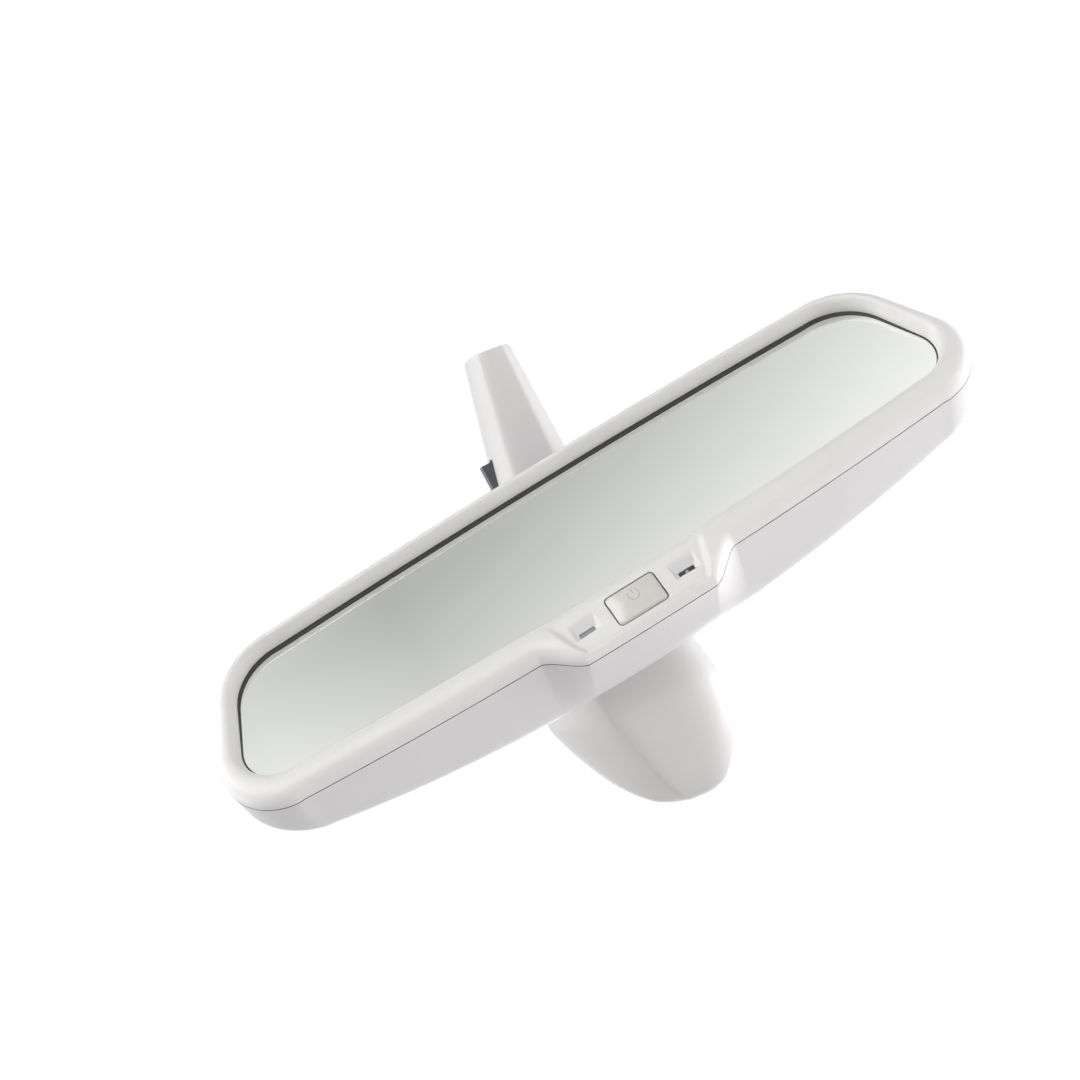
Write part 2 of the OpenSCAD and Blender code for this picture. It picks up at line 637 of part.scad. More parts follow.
// The lower cover's cross section: a wide bevel on one side, a rounded shoulder on the other
function lower_arch(w, h) = [[-w, 0], [-w, h * 0.3], [-w * 0.97, h * 0.42], [-w * 0.86, h * 0.6],
    [-w * 0.66, h * 0.82], [-w * 0.52, h * 0.95], [-w * 0.42, h * 0.99], [0, h], [w * 0.45, h * 0.99],
    [w * 0.7, h * 0.94], [w * 0.84, h * 0.85], [w * 0.93, h * 0.71], [w * 0.98, h * 0.55], [w, h * 0.35], [w, 0]];
module lower_body(inset, base) {
    capped_solid([for (f = lower_form)
        let (far = base < 0 ? over : 0,
             y = f[0] < 0 ? f[0] * cover_drop + inset : split_y - gap / 2 + far,
             p = lower_arch(f[1] * cover_w / 2 - inset, f[2] * cover_h - inset - base))
        section([for (q = p) q + [lean_x(y), 0]], y, base)]);
}
module arm_hole() { at_ball() rod(collar_r + 1.2, 10, arm_len); }
module lower_cover() {
    color(paint) difference() {
        on_glass() difference() {
            lower_body(0, 0.4);
            lower_body(wall, -over);
        }
        arm_hole();
    }
}
// Place, half width and height of each section of the upper cover
stem_side = stem_w * 0.76;
function upper_form() = [
    [split_y + gap / 2, cover_w * 0.38, cover_h * 0.78], [22, cover_w * 0.33, 26], [38, cover_w * 0.28, 25],
    [54, cover_w * 0.245, 23.6], [69, cover_w * 0.22, 22], [stem_len - 17, stem_side * 1.28, 20.4],
    [stem_len - 3, stem_side * 1.03, 19], [stem_len, stem_side * 0.98, 18.4]];
module upper_body(inset, base) {
    capped_solid([for (f = upper_form())
        let (far = base < 0 ? over : 0,
             y = f[0] < 10 ? f[0] - far : f[0] + (f[0] == stem_len ? far : 0))
        section(arch(f[1] - inset, f[2] - inset - base, 0.66), y, base)]);
}
module upper_cover() {
    color(paint) difference() {
        on_glass() difference() {
            upper_body(0, 0.4);
            upper_body(wall, -over);
            latch_form(gap);
        }
        arm_hole();
    }
}
sensor_half = 7.5;
// The sensor lies between the foot and the narrow end of its cover
sensor_space = 5;
sensor_long = min(sensor_half, (cover_drop - 6.6 - foot_r - sensor_space) / 2);
sensor_y = -(foot_r + sensor_space + sensor_long);
module at_sensor() { on_glass() translate([lean_x(sensor_y), sensor_y, 0]) children(); }
module rain_sensor() {
    color("#2e3134") at_sensor() {
        block(-sensor_half, sensor_half, -sensor_long, sensor_long, 1.6, 11);
        block(-5, 5, -5, 5, 10.5, 15);
    }
}
module sensor_gel_pad() {
    color([0.75, 0.78, 0.8]) at_sensor()
        block(1 - sensor_half, sensor_half - 1, 1 - sensor_long, sensor_long - 1, 0, 1.6);
}
module sensor_clip() {
    reach = sensor_half + gap;
    color("silver") at_sensor() difference() {
        block(-reach - 0.8, reach + 0.8, -4, 4, 1.6, 12.1);
        block(-reach, reach, -4 - over, 4 + over, 1.6 - over, 11.3);
        block(-5 - gap, 5 + gap, -5 - gap, 5 + gap, 10, 16);
    }
}
// The cable's route, in the windshield's own frame
cable_route = [[0, branch_y, branch_z], [0, branch_y + 6, branch_z + 0.5], [0, branch_y + 12, branch_z - 2],
    [0, branch_y + 17, branch_z - 6], [0, branch_y + 24, branch_z - 8], [0, stem_len * 0.467, 10.5], [0, stem_len * 0.617, 10],
    [0, stem_len - 28, 10]];
function tube_ring(p, d, r) =
    let (side = [1, 0, 0], up = cross(unit(d), side))
    [for (a = [0 : 45 : 315]) p + side * r * cos(a) + up * r * sin(a)];
module mount_harness() {
    start = [0, ball_up * (1 + (ball_r + 1) / arm_len), ball_height * (1 + (ball_r + 1) / arm_len)];
    mid = [0, branch_y + (ball_up - branch_y) * 0.1, branch_z + (ball_height - branch_z) * 0.1];
    path = concat([start, mid], cable_route);
    n = len(path);
    color("#222426") on_glass() capped_solid([for (k = [0 : n - 1])
        let (d = path[min(k + 1, n - 1)] - path[max(k - 1, 0)]) tube_ring(path[k], d, cable_r)]);
}
module harness_connector() {
    color("ivory") on_glass() translate([-3.6, stem_len - 28, 7]) cube([7.2, 13, 6]);
}

bezel_frame();
glass_gasket();
front_glass();
edge_seal();
rear_glass();
bus_clips();
foam_pad();
carrier_plate();
rear_shell();
circuit_board();
board_screws();
board_chips();
board_connector();
tact_switch();
status_led();
indicator_lens();
glare_sensor();
glare_lens();
ambient_sensor();
ambient_light_pipe();
ball_socket();
socket_ring();
socket_screws();
pressure_cup();
socket_liner();
power_button();
ball_arm();
arm_screws();
mount_base();
retaining_spring();
upper_cover();
lower_cover();
rain_sensor();
sensor_gel_pad();
sensor_clip();
mount_harness();
harness_connector();
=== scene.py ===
# %% [markdown]
# A car's interior mirror is a long, shallow housing that hangs from the windshield on a ball joint.
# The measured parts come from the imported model. This lesson adds the look: smooth mouldings, a
# silvered glass, a pearl button and the finish of each hidden part. Everything is in metres, in
# the model's own frame: X runs along the mirror, +Y points out through the windshield, +Z is up.

# %% Load the measured frame
import json
import math
import bmesh
import bpy
import numpy as np
from mathutils import Matrix, Vector


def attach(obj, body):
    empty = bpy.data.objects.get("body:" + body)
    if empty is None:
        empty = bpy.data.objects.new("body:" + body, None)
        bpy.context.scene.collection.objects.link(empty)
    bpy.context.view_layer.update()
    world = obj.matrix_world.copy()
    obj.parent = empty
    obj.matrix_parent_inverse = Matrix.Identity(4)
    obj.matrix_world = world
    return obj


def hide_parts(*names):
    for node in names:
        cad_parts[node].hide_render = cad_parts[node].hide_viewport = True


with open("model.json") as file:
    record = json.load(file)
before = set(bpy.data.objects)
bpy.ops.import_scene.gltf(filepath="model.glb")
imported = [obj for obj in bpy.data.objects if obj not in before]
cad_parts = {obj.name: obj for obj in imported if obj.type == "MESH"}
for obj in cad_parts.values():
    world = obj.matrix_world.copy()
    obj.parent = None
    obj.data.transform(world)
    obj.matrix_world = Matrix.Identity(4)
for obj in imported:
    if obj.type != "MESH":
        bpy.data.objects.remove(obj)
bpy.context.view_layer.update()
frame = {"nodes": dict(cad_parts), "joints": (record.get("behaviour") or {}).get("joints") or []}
MM = 0.001

# %% [markdown]
# Three small frames make every later step easy. The housing's frame has its zero in the plane of
# the glass, level with the ball. The chin's frame is tilted with the button's face. The mount's
# frame lies on the windshield: y runs up the glass and z stands off it.

# %% Frames of the housing, the chin and the mount
joints = {j["name"]: j for j in frame["joints"]}
ball = Vector(joints["head_swivel"]["pos_m"])
BALL_DEPTH = 21
housing = Matrix.Translation(ball - Vector((0, BALL_DEPTH * MM, 0))) @ Matrix.Scale(MM, 4)
REST_TURN, REST_LEAN, RAKE = 8, 7, 49
mount = (Matrix.Rotation(math.radians(REST_TURN), 4, "Z") @ Matrix.Rotation(math.radians(REST_LEAN), 4, "Y")
         @ Matrix.Rotation(math.radians(180 - RAKE), 4, "X") @ Matrix.Scale(MM, 4))
PANEL_TILT, PANEL_Y, BUTTON_Z = math.radians(12), -3.3, -28.15
chin = housing @ Matrix.Translation((0, PANEL_Y, BUTTON_Z)) @ Matrix.Rotation(PANEL_TILT, 4, "X")
print("ball at", [round(v / MM, 1) for v in ball], "mm; the arm is", round(ball.length / MM, 1), "mm long")

# %% [markdown]
# The camera stands below and to the left of the mirror and looks up at it, as a seated passenger
# would. Its place is measured from the ball, so it stays right if the arm changes. The lens is a
# short telephoto, which keeps the two ends of the housing nearly the same size.

# %% Camera
CAMERA_AT, LENS, SENSOR_W = Vector((-84.24, -479.80, -398.91)), 75.42, 36
LOOK_TURN, LOOK_UP, LOOK_ROLL = math.radians(8.71), math.radians(40.12), math.radians(37.17)
ahead = Vector((math.sin(LOOK_TURN) * math.cos(LOOK_UP), math.cos(LOOK_TURN) * math.cos(LOOK_UP),
                math.sin(LOOK_UP)))
level = Vector((math.cos(LOOK_TURN), -math.sin(LOOK_TURN), 0))
above = level.cross(ahead)
right = math.cos(LOOK_ROLL) * level - math.sin(LOOK_ROLL) * above
up = math.sin(LOOK_ROLL) * level + math.cos(LOOK_ROLL) * above
camera_data = bpy.data.cameras.new("camera")
camera_data.lens = LENS
camera_data.sensor_width = SENSOR_W
camera_data.clip_start = 0.01
camera = bpy.data.objects.new("camera", camera_data)
camera.matrix_world = (Matrix.Translation(housing @ CAMERA_AT)
                       @ Matrix((right, up, -ahead)).transposed().to_4x4())
bpy.context.scene.collection.objects.link(camera)
bpy.context.scene.camera = camera
print("camera", [round(v, 3) for v in camera.location], "lens", camera_data.lens)

# %% [markdown]
# A shader is built from nodes. One helper adds a node, sets its values and makes its links. One
# more turns a colour written as a hex number, as a paint chart gives it, to the linear values that
# light needs.

# %% Node and colour helpers
def linear(hex_colour):
    parts = [int(hex_colour[i:i + 2], 16) / 255 for i in (1, 3, 5)]
    return [c / 12.92 if c <= 0.04045 else ((c + 0.055) / 1.055) ** 2.4 for c in parts] + [1]


def add(tree, kind, settings=(), links=()):
    node = tree.nodes.new(kind)
    for key, value in dict(settings).items():
        if isinstance(key, int) or key in node.inputs:
            node.inputs[key].default_value = value
        else:
            setattr(node, key, value)
    for key, (source, output) in dict(links).items():
        tree.links.new(source.outputs[output], node.inputs[key])
    return node


# %% [markdown]
# Moulded plastic is never one flat colour. Its surface carries the fine spark grain of the steel
# mould, and its gloss drifts a little where the melt cooled at another speed. The same recipe fits
# metals and rubber with other numbers: a colour pair that a slow noise mixes, a roughness that it
# moves, and a bump whose size is the real grain in millimetres.

# %% One recipe for a surface with grain
def surface(name, dark, light, rough, spread=0.04, grain=0.4, height=0.004, drift=25, metallic=0.0,
            ior=1.5, extra=()):
    material = bpy.data.materials.new(name)
    material.use_nodes = True
    tree = material.node_tree
    tree.nodes.clear()
    place = add(tree, "ShaderNodeTexCoord")
    slow = add(tree, "ShaderNodeTexNoise", {"Scale": 1000 / drift, "Detail": 3.0},
               {"Vector": (place, "Object")})
    fine = add(tree, "ShaderNodeTexNoise", {"Scale": 1000 / grain, "Detail": 2.0},
               {"Vector": (place, "Object")})
    tint = add(tree, "ShaderNodeMix", {"data_type": "RGBA", 6: linear(dark), 7: linear(light)},
               {0: (slow, 0)})
    gloss = add(tree, "ShaderNodeMapRange", {"To Min": max(0.02, rough - spread), "To Max": rough + spread},
                {"Value": (slow, 0)})
    bump = add(tree, "ShaderNodeBump", {"Strength": 0.6, "Distance": height * MM}, {"Height": (fine, 0)})
    settings = {"Metallic": metallic} if metallic else {"IOR": ior}
    shader = add(tree, "ShaderNodeBsdfPrincipled", {**settings, **dict(extra)},
                 {"Base Color": (tint, 2), "Roughness": (gloss, 0), "Normal": (bump, 0)})
    add(tree, "ShaderNodeOutputMaterial", (), {"Surface": (shader, 0)})
    print("finish:", name)
    return material


# %% [markdown]
# The housing is moulded ABS in a pale warm grey with a satin mould texture: roughness near 0.4
# gives it wide, soft highlights. The covers are the same ABS in a slightly greyer tone, which is
# painted shade. The button is painted with a pearl lacquer, so it has a thin clear coat over a soft sheen.

# %% Mouldings that show
abs_housing = surface("moulded ABS", "#E6E4E3", "#EBEAE8", 0.42, grain=0.35, height=0.003)
abs_shell = surface("moulded ABS shell", "#DFDDDF", "#E5E3E5", 0.46, grain=0.35, height=0.004)
# The covers' darker grey is painted shade: they are the same ABS as the housing.
shaded_abs_cover = surface("moulded ABS cover, painted shade darker", "#D6D4D4", "#DDDBDA", 0.48, grain=0.4, height=0.005)
pearl = surface("pearl lacquer on ABS", "#CFCDC8", "#DAD8D3", 0.3, 0.05, grain=0.15, height=0.0015, drift=4,
                extra={"Coat Weight": 0.5, "Coat Roughness": 0.12, "Sheen Weight": 0.1})
symbol_print = surface("pad-printed grey ink", "#A5A4A5", "#B2B1B1", 0.45, grain=0.2, height=0.002, drift=3)
# The mating faces in the seam get a dark grey as painted shade, so the joint reads as a fine shadow line; the
# ABS there is as pale as the rest.
painted_seam_shade = surface("ABS mating face, painted shade", "#2F2E2E", "#3A3939", 0.7, grain=0.4, height=0.005)
nylon_base = surface("glass-filled nylon", "#4C5157", "#595F65", 0.5, grain=0.5, height=0.02)

# %% [markdown]
# Hidden parts get the finish of the real thing too, because the mirror can be opened or turned
# round. Nylon, acetal and epoxy are plastics of different gloss. Zinc, steel and brass are metals
# whose default IOR stays, and their roughness tells how they were made.

# %% Finishes of the inner parts
nylon_inner = surface("moulded nylon", "#5A5C5F", "#66686B", 0.5, grain=0.5, height=0.01)
acetal = surface("moulded acetal", "#D9D5C8", "#E4E0D4", 0.28, grain=0.6, height=0.002)
rubber = surface("EPDM rubber", "#2E2E2D", "#3A3A39", 0.62, grain=0.3, height=0.01)
foam = surface("polyurethane foam", "#262626", "#3A3A3A", 0.9, grain=0.9, height=0.25)
zinc = surface("die-cast zinc", "#8F9499", "#A3A8AC", 0.38, 0.08, grain=0.8, height=0.01, metallic=1.0)
screw_steel = surface("zinc-plated steel", "#B9BCC0", "#C9CCCE", 0.28, 0.06, grain=0.2, height=0.003,
                      metallic=1.0)
spring_steel = surface("spring steel", "#A9ABAD", "#B8BABC", 0.32, 0.06, grain=0.15, height=0.004,
                       metallic=1.0)
epoxy = surface("moulded epoxy", "#1B1C1E", "#28292B", 0.55, grain=0.25, height=0.006)
nylon_plug = surface("natural nylon", "#E2DCC8", "#EDE8D8", 0.4, grain=0.4, height=0.004)
cable_pvc = surface("PVC cable jacket", "#1A1A1B", "#242425", 0.5, grain=0.5, height=0.01)
gel = surface("clear silicone gel", "#D5E0E2", "#E2ECEC", 0.12, 0.03, grain=2, height=0.01, ior=1.41,
              extra={"Transmission Weight": 0.7})
clear_pc = surface("clear polycarbonate", "#C9CED2", "#D9DDE0", 0.1, 0.03, grain=1, height=0.001, ior=1.58,
                   extra={"Transmission Weight": 0.55})
grey_pc = surface("diffusing polycarbonate", "#7F8486", "#8F9496", 0.3, 0.05, grain=0.3, height=0.002,
                  ior=1.58)
smoked_pc = surface("smoked polycarbonate", "#1E1F21", "#2A2B2D", 0.12, 0.03, grain=1, height=0.001, ior=1.58)

# %% [markdown]
# A circuit board is glass cloth under a green solder mask. The copper traces below the mask show
# as slightly lighter, raised lines, so a second pattern is laid over the base recipe.

# %% Board
board_mask = surface("FR4 with solder mask", "#0E4A2A", "#17603A", 0.3, grain=0.5, height=0.01)
tree = board_mask.node_tree
shader = next(n for n in tree.nodes if n.type == "BSDF_PRINCIPLED")
place = next(n for n in tree.nodes if n.type == "TEX_COORD")
tint = next(n for n in tree.nodes if n.type == "MIX")
TRACE_PITCH = 3.0
traces = add(tree, "ShaderNodeTexBrick",
             {"Scale": 1000 / TRACE_PITCH, "Mortar Size": 0.06, "Mortar Smooth": 0.1,
              "Color1": (0, 0, 0, 1), "Color2": (0, 0, 0, 1), "Mortar": (1, 1, 1, 1)},
             {"Vector": (place, "Object")})
masked = add(tree, "ShaderNodeMix", {"data_type": "RGBA", 7: linear("#2C7A4C")},
             {0: (traces, "Color"), 6: (tint, 2)})
tree.links.new(masked.outputs[2], shader.inputs["Base Color"])
print("board traces every", TRACE_PITCH, "mm")

# %% [markdown]
# The mirror is silvered glass. Light passes the clear plate and comes back from the metal behind
# it, so the surface is a metal of high reflectance with the faint green of float glass. A clear
# coat stands for the front face of the glass. Its face is polished: no grain, only a very slow
# wave that real float glass has too.

# %% Silvered glass
silvered = surface("silvered float glass", "#E6E7E4", "#E9EAE7", 0.035, 0.01, grain=60, height=0.002,
                   drift=90, metallic=1.0, extra={"Coat Weight": 0.3, "Coat Roughness": 0.02})
rear_silver = surface("silvered rear plate", "#C9CECB", "#D2D6D3", 0.06, 0.01, grain=60, height=0.001,
                      metallic=1.0)

# %% [markdown]
# The mouldings are lofts: a closed outline is repeated as rings, and the rings are joined by
# quads. Fine rings with smooth shading look like a tool-cut surface, while true corners stay
# sharp because every edge over a limit angle is marked.

# %% Mesh helpers
def mesh_object(name, points, faces, matrix, materials, sharp=35):
    mesh = bpy.data.meshes.new(name)
    mesh.from_pydata([tuple(p) for p in points], [], faces)
    mesh.transform(matrix)
    mesh.validate()
    finish_mesh(mesh, sharp)
    for material in materials:
        mesh.materials.append(material)
    piece = bpy.data.objects.new(name, mesh)
    bpy.context.scene.collection.objects.link(piece)
    print(name, len(mesh.polygons), "faces")
    return piece


def finish_mesh(mesh, sharp):
    bm = bmesh.new()
    bm.from_mesh(mesh)
    bmesh.ops.recalc_face_normals(bm, faces=bm.faces)
    bm.to_mesh(mesh)
    bm.free()
    mesh.shade_smooth()
    mesh.set_sharp_from_angle(angle=math.radians(sharp))


def loft(rings, closed_loft=False, caps=False, closed_ring=True):
    rings = np.asarray(rings, float)
    m, n, _ = rings.shape
    faces = []
    for j in range(m if closed_loft else m - 1):
        for i in range(n if closed_ring else n - 1):
            a, b = j * n + i, j * n + (i + 1) % n
            c, d = ((j + 1) % m) * n + (i + 1) % n, ((j + 1) % m) * n + i
            faces.append((a, b, c, d))
    if caps:
        faces += [tuple(range(n - 1, -1, -1)), tuple((m - 1) * n + i for i in range(n))]
    return rings.reshape(-1, 3), faces


def smooth_curve(points, count):
    """Points spaced evenly on a smooth curve through the given ones."""
    p = np.asarray(points, float)
    padded = np.vstack([2 * p[0] - p[1], p, 2 * p[-1] - p[-2]])
    dense = []
    for k in range(1, len(padded) - 2):
        a, b, c, d = padded[k - 1:k + 3]
        t = np.linspace(0, 1, 24, endpoint=False)[:, None]
        slope, bend, twist = c - a, 2 * a - 5 * b + 4 * c - d, 3 * b - a - 3 * c + d
        dense.append(0.5 * (2 * b + slope * t + bend * t ** 2 + twist * t ** 3))
    dense = np.vstack(dense + [p[-1:]])
    along = np.concatenate([[0], np.cumsum(np.linalg.norm(np.diff(dense, axis=0), axis=1))])
    at = np.linspace(0, along[-1], count)
    return np.stack([np.interp(at, along, dense[:, k]) for k in range(dense.shape[1])], 1)


def ramp(value, low, high):
    t = np.clip((value - low) / (high - low), 0, 1)
    return t * t * (3 - 2 * t)


# %% [markdown]
# Holes are cut with a Boolean modifier, as on a milling machine: a cutter body is made, taken
# away from the piece, and thrown away. The result is written back into the mesh, so nothing is
# left for later.

# %% Cutting helper
def cut(piece, points, faces, matrix, sharp=35):
    cutter = mesh_object(piece.name + "_cutter", points, faces, matrix, [])
    tool = piece.modifiers.new("cut", "BOOLEAN")
    tool.object = cutter
    tool.solver = "EXACT"
    bpy.context.view_layer.update()
    result = bpy.data.meshes.new_from_object(piece.evaluated_get(bpy.context.evaluated_depsgraph_get()))
    piece.modifiers.clear()
    old, piece.data = piece.data, result
    bpy.data.meshes.remove(old)
    bpy.data.meshes.remove(cutter.data)
    result.shade_smooth()
    result.set_sharp_from_angle(angle=math.radians(sharp))


def rounded_rect(half_w, half_h, radius, steps=8, edge=1):
    """A rounded rectangle; each straight edge is divided into so many pieces."""
    arcs = []
    for quarter, (sx, sz) in enumerate(((1, 1), (-1, 1), (-1, -1), (1, -1))):
        turn = math.pi / 2 * (quarter + np.arange(steps + 1) / steps)
        middle = [sx * (half_w - radius), sz * (half_h - radius)]
        arcs.append(middle + radius * np.stack([np.cos(turn), np.sin(turn)], 1))
    out = []
    for arc, following in zip(arcs, arcs[1:] + arcs[:1]):
        out += [arc] + [arc[-1:] + (following[:1] - arc[-1:]) * k / edge for k in range(1, edge)]
    return np.vstack(out)


def circle(radius, count):
    turn = np.linspace(0, 2 * math.pi, count, endpoint=False)
    return radius * np.stack([np.cos(turn), np.sin(turn)], 1)


def ring_at(points, y):
    """A flat outline of x and z, set at one depth y or at a depth for each point."""
    return np.insert(points, 1, y, axis=1)


def prism(outline, y0, y1):
    return loft([ring_at(outline, y) for y in (y0, y1)], caps=True)


# %% [markdown]
# The housing's outline is a long bar with bowed edges, slanted ends and rounded corners. At the
# middle of its lower edge it drops into the chin. The same function gives the outline of the
# visible glass, so the rim between the two always has the right width.

# %% Outlines of the housing and of the glass
SEAM_TOP, SEAM_BOTTOM, END_HALF, HEAD_LEN = 32.25, -28.25, 117.4, 240
RIM_TOP, RIM_BOTTOM, RIM_END, RIM_PROUD, WALL = 3.4, 10.2, 5.9, 5.3, 2
CHIN_LOW, CHIN_HIGH, CHIN_DROP = 20.4, 31.2, 8.2
BOW_TOP, BOW_BOTTOM, END_SLOPE, GLASS_SLOPE = 0.0002, 0.00039, 0.36, 0.3
CORNER_TOP, CORNER_BOTTOM, GLASS_TOP_R, GLASS_BOTTOM_R = 22.5, 17, 18.3, 11.4
TOP_N, ARC_N, EDGE_N, CHIN_N = 60, 26, 40, 120


def unit(v):
    return np.array(v) / np.linalg.norm(v)


def fillet(corner, a, b, radius):
    half = math.acos(float(a @ b)) / 2
    mid = corner + (a + b) / np.linalg.norm(a + b) * radius / math.sin(half)
    p, q = corner + a * radius / math.tan(half) - mid, corner + b * radius / math.tan(half) - mid
    start = math.atan2(p[1], p[0])
    sweep = (math.atan2(q[1], q[0]) - start + 3 * math.pi) % (2 * math.pi) - math.pi
    t = start + sweep * np.linspace(0, 1, ARC_N + 1)
    return mid + radius * np.stack([np.cos(t), np.sin(t)], 1)


def chin_shape(x):
    s = np.clip((CHIN_HIGH - np.abs(x)) / (CHIN_HIGH - CHIN_LOW), 0, 1)
    return s * 0.4 + s * s * (3 - 2 * s) * 0.6


def outline(half, slope, top, bottom, bow_t, bow_b, r_top, r_bottom, chin_drop):
    xt, xb = half - slope * top, half - slope * bottom
    ct, cb = np.array([xt, top - bow_t * xt * xt]), np.array([xb, bottom + bow_b * xb * xb])
    side = unit(cb - ct)
    arc_t = fillet(ct, unit([-1, 2 * bow_t * xt]), side, r_top)
    arc_b = fillet(cb, -side, unit([-1, -2 * bow_b * xb]), r_bottom)
    x0 = arc_t[0, 0] * np.arange(TOP_N) / TOP_N
    x1 = arc_b[-1, 0] + (CHIN_HIGH + 3 - arc_b[-1, 0]) * np.arange(1, EDGE_N) / EDGE_N
    x2 = (CHIN_HIGH + 3) * (1 - np.arange(CHIN_N + 1) / CHIN_N)
    half_line = np.vstack([
        np.stack([x0, top - bow_t * x0 ** 2], 1), arc_t, arc_b, np.stack([x1, bottom + bow_b * x1 ** 2], 1),
        np.stack([x2, bottom + bow_b * x2 ** 2 - chin_drop * chin_shape(x2)], 1)])
    return np.vstack([half_line, half_line[-2:0:-1] * [-1, 1]])


def outer(inset, chin_drop):
    return outline(END_HALF - inset * 1.16, END_SLOPE, SEAM_TOP - inset, SEAM_BOTTOM + inset,
                   BOW_TOP, BOW_BOTTOM, CORNER_TOP - inset * 0.5, CORNER_BOTTOM - inset * 0.5, chin_drop)


def opening(grow):
    return outline(END_HALF - RIM_END + grow * 1.1, GLASS_SLOPE, SEAM_TOP - RIM_TOP + grow,
                   SEAM_BOTTOM + RIM_BOTTOM - grow, BOW_TOP, BOW_BOTTOM * 0.83,
                   GLASS_TOP_R + grow * 0.5, GLASS_BOTTOM_R + grow * 0.5, 0)


print("housing", round(np.ptp(outer(0, CHIN_DROP)[:, 0]), 1), "mm long; glass",
      round(np.ptp(opening(0)[:, 1]), 1), "mm high")

# %% [markdown]
# The bezel is one moulding that wraps the glass like a soft tube. Its section rises steeply from
# the glass, rounds over and falls away to the seam. In the chin the same section is planed to a
# tilted face, and two tapered pockets are pressed into it for the indicator and the light sensor.

# %% Bezel
rim_front = smooth_curve([[0, 0.06], [0.04, 0.45], [0.13, 0.76], [0.28, 0.95], [0.46, 1],
                          [0.64, 0.96], [0.8, 0.84], [0.92, 0.62], [0.985, 0.36], [1, 0.16]], 72)
lip, edge = opening(0), outer(0, CHIN_DROP)
POCKET_W, POCKET_H, POCKET_DEPTH = 8, 4.7, 1.7
SLOT_W, SLOT_H, SLOT_TOP, WINDOW_X = 5, 1.8, 0.6, 15.9
FACE_ABOVE_SEAM, FACE_BELOW_GLASS = 1.9, 2.4


def behind_chin(points, y):
    return ring_at(points, y + 2 * np.where(points[:, 1] < 0, chin_shape(points[:, 0]), 0))


def plane_chin(ring):
    """The tilted face and the two pockets, on a ring of the rim's front."""
    x, dy, dz = ring[:, 0], ring[:, 1] - PANEL_Y, ring[:, 2] - BUTTON_Z
    c, s = math.cos(PANEL_TILT), math.sin(PANEL_TILT)
    y, z = dy * c + dz * s, dz * c - dy * s
    low = (SEAM_BOTTOM - CHIN_DROP + FACE_ABOVE_SEAM - BUTTON_Z) / c
    high = (SEAM_BOTTOM + RIM_BOTTOM - FACE_BELOW_GLASS - BUTTON_Z) / c
    side = np.interp(z, [low, low + 3, high], [CHIN_LOW - 1, CHIN_LOW + 1, CHIN_HIGH - 6])
    inside = ramp(np.minimum(side - np.abs(x), z - low), -0.9, 1.5) * (z < high + 4)
    flat = (y + np.sqrt(y * y + 0.16)) / 2
    y_new = y + (flat - y) * inside
    for window in (-WINDOW_X, WINDOW_X):
        dx = np.abs(x - window)
        depth = np.minimum.reduce([(POCKET_W / 2 - dx) / 1.5, (SLOT_TOP - SLOT_H + POCKET_H - z) / 3.2,
                                   (z - SLOT_TOP + SLOT_H + 0.1) / 0.3])
        y_new = y_new + POCKET_DEPTH * ramp(depth, -0.12, 1) * (ring[:, 2] < 0)
    out = ring.copy()
    out[:, 1], out[:, 2] = PANEL_Y + y_new * c - z * s, BUTTON_Z + y_new * s + z * c
    chosen = (ring[:, 2] < 0) & (np.abs(x) < CHIN_HIGH)
    return np.where(chosen[:, None], out, ring)


def line_seam(piece, band, count):
    """Painted shade on one band of faces, where two mouldings meet: a dark colour on the same pale ABS."""
    piece.data.materials.append(painted_seam_shade)
    for face in list(piece.data.polygons)[band * count:(band + 1) * count]:
        face.material_index = 1


inward = (lip - edge) / np.linalg.norm(lip - edge, axis=1)[:, None]
bezel_rings = [plane_chin(ring_at(lip + (edge - lip) * share, -RIM_PROUD * rise))
               for share, rise in rim_front]
bezel_rings += [ring_at(edge, -0.1), ring_at(edge + inward * WALL, -0.1),
                behind_chin(edge + inward * WALL * 1.1, -RIM_PROUD + WALL + 1),
                behind_chin(lip + (edge - lip) * 0.55, -RIM_PROUD + WALL),
                behind_chin(lip + (edge - lip) * 0.3, -RIM_PROUD + WALL + 0.7),
                ring_at(lip + (edge - lip) * 0.17, -0.3)]
bezel = mesh_object("bezel", *loft(bezel_rings, closed_loft=True), housing, [abs_housing])
# The bezel's mating face in the seam gets the painted shade.
line_seam(bezel, len(rim_front), len(edge))
BUTTON_W, BUTTON_H, BUTTON_GAP = 15.2, 9.3, 0.35
cut(bezel, *prism(rounded_rect(BUTTON_W / 2 + BUTTON_GAP, BUTTON_H / 2 + BUTTON_GAP, 1.5), -4, 5), chin)
for window in (-WINDOW_X, WINDOW_X):
    slot = rounded_rect(SLOT_W / 2, SLOT_H / 2, 0.25, 4) + [window, SLOT_TOP - SLOT_H / 2]
    cut(bezel, *prism(slot, 0.4, 5), chin)
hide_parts("bezel_frame")
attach(bezel, "head")

# %% [markdown]
# A soft rubber strip seals the edge of the glass inside the rim. From below it shows as a thin
# dark line along the top. It is a small loft too, with a rounded inner edge, and it is narrower
# round the ends and along the bottom.

